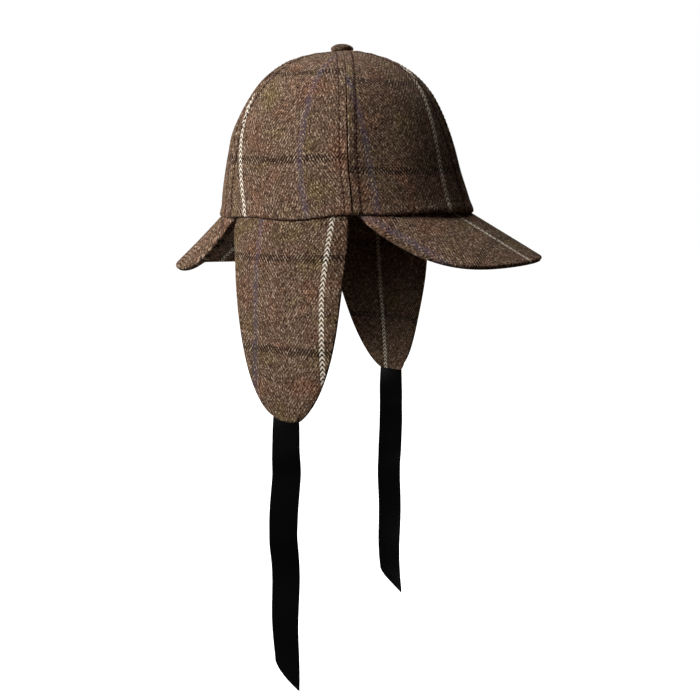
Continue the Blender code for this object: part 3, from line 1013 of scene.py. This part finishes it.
def sew_flap(name, stripe, drift, bar, tip_drop, tip_slant, trim, trim_share, trim_spread, checks):
    tuck = FLAP_TUCK / FLAP_LENGTH
    level = 1.0 - (1.0 + tuck) * (1.0 - crowded(FLAP_ROWS, FLAP_ROW_CROWDING)) ** FLAP_ROW_POWER
    level = level[None, :]
    front, back = flap_edges(level)
    free = eased(level, TRIM_COMES_IN) * eased(1.0 - level, TRIM_GOES_OUT)
    front = front + trim * free * np.exp(-((level - trim_share) / trim_spread) ** 2)
    back = back + FLAP_BACK_SWELL * free * np.exp(-(level / FLAP_BACK_SWELL_SHARE) ** 2)
    y = front + (back - front) * crowded(FLAP_COLUMNS, FLAP_COLUMN_CROWDING)[:, None]
    flat = np.stack([y, np.broadcast_to(-level * FLAP_LENGTH, y.shape)], axis=2)
    centre = flap_place()[0]
    tip = np.clip((level - 1.0 + FLAP_TIP_SHARE) / FLAP_TIP_SHARE, 0.0, 1.0) ** 2
    side = np.clip((y - centre) / (RIBBON_WIDTH / 2.0), -1.0, 1.0)
    drop = tip * (tip_drop * (1.0 - side ** 2) - tip_slant * side)
    flat[..., 1] -= drop
    curl = FLAP_CURL * np.clip(1.0 - (y - front) / FLAP_CURL_WIDTH, 0.0, 1.0) ** 2
    curl = curl * eased(level, CURL_COMES_IN)
    middle = flap_points(y, level, FLAP_THICKNESS / 2.0 + curl, *FLAP_HANG[name])
    middle[..., 2] -= drop
    normals = facing(middle, BETWEEN_FLAPS)
    lumps = np.sin(y * FLAP_LUMPS_ACROSS + checks) * np.sin(level * FLAP_LUMPS_ALONG + checks)
    lumps = FLAP_LUMP * lumps * eased(level, LUMPS_COME_IN)
    middle = middle + normals * lumps[..., None]
    to_edge, way = way_to_edge(middle, flat)
    half = half_thickness(to_edge, FLAP_THICKNESS / 2.0, FLAP_THICKNESS)
    cloth = flat + way * rolled(to_edge, FLAP_THICKNESS / 2.0)[..., None]
    cloth[..., 0] += CHECK_WIDTH * checks - stripe
    cloth[..., 0] -= drift * np.clip(1.0 - level * FLAP_LENGTH / FLAP_DRIFT_HEIGHT, 0.0, 1.0) ** 1.5
    cloth[..., 1] += CHECK_HEIGHT * checks + bar
    flap = cloth_shell("ear_flap_" + name + "_tweed", middle, normals, half, half, cloth, tweed)
    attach(flap, "root")
    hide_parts("ear_flap_" + name)


for cut in FLAP_CUTS:
    sew_flap(*cut)


# Ribbons
# A length of black satin ribbon sewn between the two layers of each flap's tip, to tie the
# flaps up over the crown. It hangs loose, with a slanting cut end.
RIBBON_LENGTH = 0.227
RIBBON_THICKNESS = 0.0006
RIBBON_TUCK = 0.004
RIBBON_END_SLANT = 0.022
RIBBON_END_BOW = 0.6
RIBBON_WAVE = 0.0013
RIBBON_WAVE_LENGTH = 0.085
RIBBON_WAVE_COMES_IN = 1.0 / 5.0
RIBBON_CUP = 0.0004
RIBBON_CREASE = 0.0008
RIBBON_CREASE_SPREAD = 0.045
RIBBON_CREASE_LEAN = 0.04
RIBBON_TWIST_REACH = 1.0 / 1.1
RIBBON_TWIST_POWER = 0.8
RIBBON_END_SWING_POWER = 6
RIBBON_COLUMNS = 24
RIBBON_COLUMN_CROWDING = 0.8
RIBBON_ROWS = 240
RIBBON_ROUTE_STEPS = 80
SATIN_BLACK = (0.0012, 0.0012, 0.0014)
SATIN_GREY = (0.0030, 0.0030, 0.0034)
SATIN_RIB = 0.00045
SATIN_RIB_SHARE = 0.35
SATIN_RELIEF = 0.00008
SATIN_THREADS_ACROSS = 9000.0
SATIN_THREADS_ALONG = 350.0
SATIN_CONTRAST = 1.6
SATIN_DULLNESS = 0.28
SATIN_DULLNESS_RANGE = 0.3

# Columns: share of the ribbon's length, share of its sway to the back
RIBBON_ROUTE = np.array((
    (0.00, 0.00),
    (0.15, 0.30),
    (0.30, 0.80),
    (0.45, 1.00),
    (0.60, 0.95),
    (0.80, 0.92),
    (1.00, 0.95),
))

# Columns: name, sway and forward swing of the end as shares of the ribbon's width, where along a
# wave it starts, twist at its middle in degrees, and shares of its length where it is creased
RIBBON_HANG = (
    ("right", 0.18, 0.0, 0.25, 18.0, (0.13, 0.44)),
    ("left", 0.05, 0.14, 0.60, 22.0, (0.12, 0.37)),
)


def weave_satin():
    satin = bpy.data.materials.new("black_satin")
    satin.use_nodes = True
    tree = satin.node_tree
    shader = tree.nodes["Principled BSDF"]
    place = tree.nodes.new("ShaderNodeUVMap")
    place.uv_map = "cloth"
    split = tree.nodes.new("ShaderNodeSeparateXYZ")
    tree.links.new(place.outputs["UV"], split.inputs[0])
    across, along = split.outputs[0], split.outputs[1]
    lengthwise = point_node(tree, number_node(tree, "MULTIPLY", across, SATIN_THREADS_ACROSS),
                            number_node(tree, "MULTIPLY", along, SATIN_THREADS_ALONG))
    threads = cloud_node(tree, lengthwise, 1.0, 2.0)
    rib = number_node(tree, "SINE", number_node(tree, "MULTIPLY", along, 2.0 * math.pi / SATIN_RIB))
    share = number_node(tree, "MULTIPLY_ADD", threads, SATIN_CONTRAST, 0.5, clamp=True)
    tree.links.new(blend_node(tree, share, SATIN_BLACK, SATIN_GREY), shader.inputs["Base Color"])
    dullness = number_node(tree, "MULTIPLY_ADD", threads, SATIN_DULLNESS_RANGE, SATIN_DULLNESS)
    tree.links.new(dullness, shader.inputs["Roughness"])
    height = number_node(tree, "MULTIPLY_ADD", rib, SATIN_RIB_SHARE, threads)
    bump = tree.nodes.new("ShaderNodeBump")
    bump.inputs["Strength"].default_value = 0.35
    bump.inputs["Distance"].default_value = SATIN_RELIEF
    tree.links.new(height, bump.inputs["Height"])
    tree.links.new(bump.outputs["Normal"], shader.inputs["Normal"])
    shader.inputs["Specular IOR Level"].default_value = 0.2
    return satin


def hang_ribbon(name, sway, end_swing, phase, twist, creases):
    part = crowded(RIBBON_COLUMNS, RIBBON_COLUMN_CROWDING)[:, None]
    share = np.linspace(0.0, 1.0, RIBBON_ROWS)[None, :]
    cut = RIBBON_END_SLANT * (1.0 - (1.0 - part) ** RIBBON_END_BOW)
    drop = (RIBBON_LENGTH - cut + RIBBON_TUCK) * share - RIBBON_TUCK
    y = flap_place()[0] + RIBBON_WIDTH * (part - 0.5)
    tip = flap_points(y, np.ones_like(y), FLAP_THICKNESS / 2.0, *FLAP_HANG[name])
    middle = np.repeat(tip, RIBBON_ROWS, axis=1)
    free = eased(drop, RIBBON_LENGTH)
    route = smooth_rows(RIBBON_ROUTE, np.linspace(0.0, 1.0, RIBBON_ROUTE_STEPS))
    middle[..., 1] += sway * RIBBON_WIDTH * np.interp(free, route[:, 0], route[:, 1])
    middle[..., 1] -= end_swing * RIBBON_WIDTH * free ** RIBBON_END_SWING_POWER
    twisted = np.sin(math.pi * eased(free, RIBBON_TWIST_REACH) ** RIBBON_TWIST_POWER)
    twisted = math.radians(twist) * twisted
    middle[..., 0] -= RIBBON_WIDTH * (part - 0.5) * np.sin(twisted)
    middle[..., 1] -= RIBBON_WIDTH * (part - 0.5) * (1.0 - np.cos(twisted))
    turns = drop / RIBBON_WAVE_LENGTH
    wave = np.sin(2.0 * math.pi * (turns + phase)) - math.sin(2.0 * math.pi * phase)
    cup = 1.0 - (2.0 * part - 1.0) ** 2
    away = RIBBON_WAVE * wave * eased(free, RIBBON_WAVE_COMES_IN) + RIBBON_CUP * cup * free
    for crease in creases:
        beyond = free - crease - RIBBON_CREASE_LEAN * (part - 0.5)
        away = away + RIBBON_CREASE * np.exp(-(beyond / RIBBON_CREASE_SPREAD) ** 2)
    middle[..., 0] += FLAP_HANG[name][0] * away
    middle[..., 2] -= drop
    normals = facing(middle, (0.0, 0.0, middle[..., 2].mean()))
    flat = np.stack([np.broadcast_to(RIBBON_WIDTH * part, drop.shape), drop], axis=2)
    radius = RIBBON_THICKNESS / 2.0
    to_edge, _ = way_to_edge(middle, flat)
    half = half_thickness(to_edge, radius, RIBBON_THICKNESS)
    ribbon = cloth_shell("ribbon_" + name + "_satin", middle, normals, half, half, flat, satin)
    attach(ribbon, "root")
    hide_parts("ribbon_" + name)


satin = weave_satin()
for ribbon in RIBBON_HANG:
    hang_ribbon(*ribbon)
